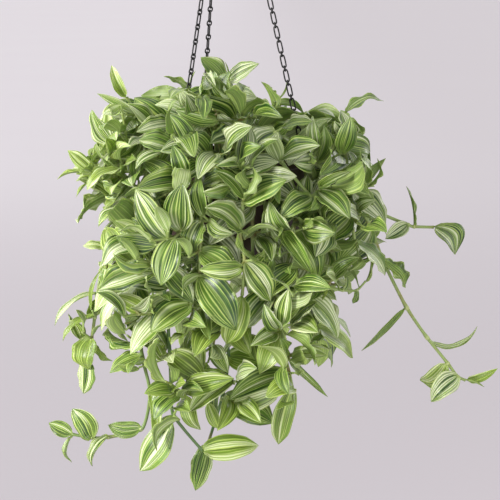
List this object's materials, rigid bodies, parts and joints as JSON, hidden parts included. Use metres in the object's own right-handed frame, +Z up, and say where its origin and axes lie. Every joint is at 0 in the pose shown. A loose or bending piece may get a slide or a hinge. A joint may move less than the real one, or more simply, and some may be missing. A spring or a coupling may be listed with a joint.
{
  "type": "hanging potted tradescantia",
  "caption": "Striped trailing house plant with arching leafy stems in a round pot, hung by link chains from a hook.",
  "frame": {"origin": "the point inside the hook's bend that bears on whatever holds the part up", "axes": "+Z up along the hanging line, +X to the right and +Y away from the viewer as the picture shows the plant"},
  "size_m": [0.6792, 0.4976, 1.075],
  "materials": {
    "pot_plastic": "matt dark brown moulded plastic",
    "potting_mix": "rough dark brown crumbs and bark",
    "black_wire": "semi-gloss black",
    "foliage": "satin green leaves with lengthwise cream and yellow-green stripes"
  },
  "bodies": {
    "root": {"hanger_hook": "black_wire", "chain_right": "black_wire", "chain_front_left": "black_wire", "chain_back_left": "black_wire", "pot": "pot_plastic", "soil": "potting_mix", "leafy_stem_top_left": "foliage", "leafy_stem_left_upper": "foliage", "leafy_stem_left_spray": "foliage", "leafy_stem_left_hang": "foliage", "leafy_stem_lower_left": "foliage", "leafy_stem_bottom_left": "foliage", "leafy_stem_bottom_middle": "foliage", "leafy_stem_bottom_tip": "foliage", "leafy_stem_bottom_right": "foliage", "leafy_stem_right_low": "foliage", "leafy_stem_right_trail": "foliage", "leafy_stem_right_spray": "foliage", "leafy_stem_right_upper": "foliage", "leafy_stem_top_middle": "foliage", "leafy_stem_top_leaf": "foliage", "leafy_stem_top_behind": "foliage", "leafy_stem_top_right": "foliage", "leafy_stem_front_left": "foliage", "leafy_stem_front_middle_left": "foliage", "leafy_stem_front_middle": "foliage", "leafy_stem_front_right": "foliage", "leafy_stem_right_front": "foliage", "leafy_stem_crown_1": "foliage", "leafy_stem_crown_2": "foliage", "leafy_stem_crown_3": "foliage", "leafy_stem_crown_4": "foliage", "leafy_stem_back_long_1": "foliage", "leafy_stem_back_long_2": "foliage", "leafy_stem_back_long_3": "foliage", "leafy_stem_back_long_4": "foliage", "leafy_stem_back_long_5": "foliage", "leafy_stem_back_long_6": "foliage", "leafy_stem_back_short_1": "foliage", "leafy_stem_back_short_2": "foliage", "leafy_stem_back_short_3": "foliage", "leafy_stem_back_short_4": "foliage", "leafy_stem_back_short_5": "foliage", "leafy_stem_under_front_1": "foliage", "leafy_stem_under_front_2": "foliage", "leafy_stem_under_front_3": "foliage", "leafy_stem_under_front_4": "foliage"}
  },
  "joints": []
}
